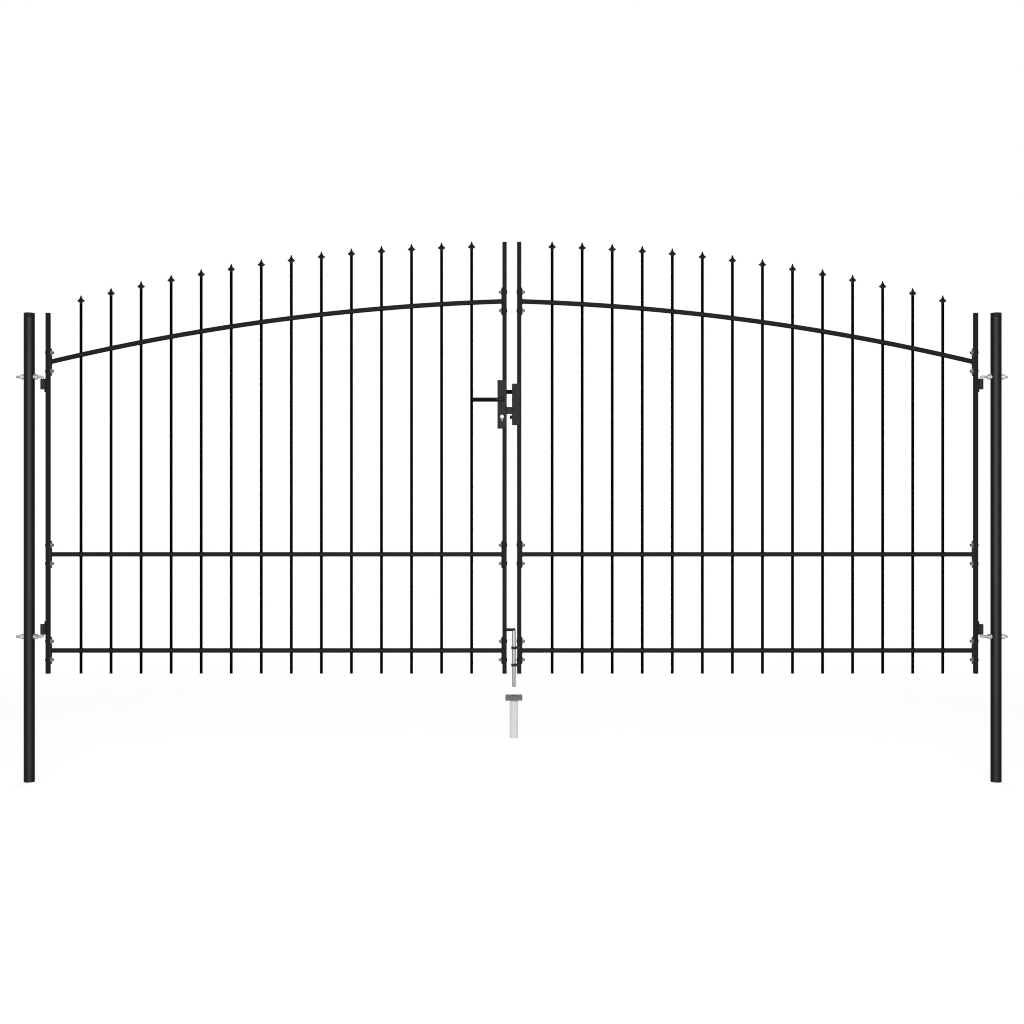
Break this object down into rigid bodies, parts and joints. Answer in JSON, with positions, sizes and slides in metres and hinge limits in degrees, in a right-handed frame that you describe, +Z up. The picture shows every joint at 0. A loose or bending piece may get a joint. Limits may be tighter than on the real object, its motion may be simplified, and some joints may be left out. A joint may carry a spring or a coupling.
{
  "type": "driveway gate",
  "caption": "Double-leaf driveway gate of black coated steel tube with round posts, arched top rails, spear-topped pickets, hook hinges, lever lock and drop bolt",
  "frame": {"origin": "the centre of the left post's foot", "axes": "+X from the left post to the right post seen from the front, -Y to the front, +Z up"},
  "size_m": [4.124, 0.101, 2.2481],
  "materials": {
    "powder_coat": "satin black powder coat",
    "cap_plastic": "matt black moulded plastic",
    "zinc_plate": "bright zinc plate",
    "galvanised_steel": "dull galvanised",
    "black_zinc": "dark grey zinc plate",
    "nickel_plate": "satin nickel plate",
    "grip_rubber": "matt black",
    "collar_plastic": "dark grey, matt",
    "socket_plastic": "light grey, matt"
  },
  "bodies": {
    "posts": {"left_post": "powder_coat", "right_post": "powder_coat", "left_post_cap": "cap_plastic", "right_post_cap": "cap_plastic", "left_upper_hook_bolt": "zinc_plate", "left_lower_hook_bolt": "zinc_plate", "right_upper_hook_bolt": "zinc_plate", "right_lower_hook_bolt": "zinc_plate", "left_hook_nuts": "zinc_plate", "right_hook_nuts": "zinc_plate", "ground_socket_collar": "collar_plastic", "ground_socket_tube": "socket_plastic"},
    "left_leaf": {"left_hinge_stile": "powder_coat", "left_meeting_stile": "powder_coat", "left_stile_caps": "cap_plastic", "left_upper_sleeve": "powder_coat", "left_lower_sleeve": "powder_coat", "left_bottom_rail": "powder_coat", "left_middle_rail": "powder_coat", "left_arch_rail": "powder_coat", "left_rail_plates": "powder_coat", "left_pickets": "powder_coat", "left_spear_tips": "powder_coat", "left_frame_bolts": "powder_coat", "left_frame_nuts": "zinc_plate", "lock_case": "powder_coat", "lock_front_cover": "powder_coat", "lock_back_cover": "powder_coat", "lock_screws": "black_zinc", "key_cylinder": "nickel_plate"},
    "lever": {"front_lever": "powder_coat", "back_lever": "powder_coat", "lever_spindle": "zinc_plate"},
    "latch": {"latch_bolt": "black_zinc"},
    "dead_bolt_slider": {"dead_bolt": "black_zinc"},
    "right_leaf": {"right_hinge_stile": "powder_coat", "right_meeting_stile": "powder_coat", "right_stile_caps": "cap_plastic", "right_upper_sleeve": "powder_coat", "right_lower_sleeve": "powder_coat", "right_bottom_rail": "powder_coat", "right_middle_rail": "powder_coat", "right_arch_rail": "powder_coat", "right_rail_plates": "powder_coat", "right_pickets": "powder_coat", "right_spear_tips": "powder_coat", "right_frame_bolts": "powder_coat", "right_frame_nuts": "zinc_plate", "lock_keep": "powder_coat", "keep_buffer": "grip_rubber", "drop_bolt_guides": "powder_coat"},
    "drop_bolt": {"drop_bolt_rod": "galvanised_steel", "drop_bolt_grip": "grip_rubber"}
  },
  "joints": [
    {"name": "left_swing", "type": "hinge", "parent": "posts", "child": "left_leaf", "pos_m": [0.0563, 0, 0.604], "axis": [0, 0, 1], "range_deg": [0, 95]},
    {"name": "right_swing", "type": "hinge", "parent": "posts", "child": "right_leaf", "pos_m": [3.9593, 0, 0.604], "axis": [0, 0, -1], "range_deg": [0, 95]},
    {"name": "lever_turn", "type": "hinge", "parent": "left_leaf", "child": "lever", "pos_m": [1.9668, 0, 1.5895], "axis": [0, -1, 0], "range_deg": [0, 40], "stiffness_Nm_per_rad": 1, "springref_deg": -34.38},
    {"name": "latch_slide", "type": "slide", "parent": "left_leaf", "child": "latch", "axis": [-1, 0, 0], "range_m": [0, 0.015]},
    {"name": "dead_bolt_slide", "type": "slide", "parent": "left_leaf", "child": "dead_bolt_slider", "axis": [-1, 0, 0], "range_m": [0, 0.017]},
    {"name": "drop_bolt_slide", "type": "slide", "parent": "right_leaf", "child": "drop_bolt", "axis": [0, 0, 1], "range_m": [-0.062, 0]}
  ],
  "couplings": [
    {"joint": "latch_slide", "follows": "lever_turn", "m_per_rad": 0.021486}
  ]
}
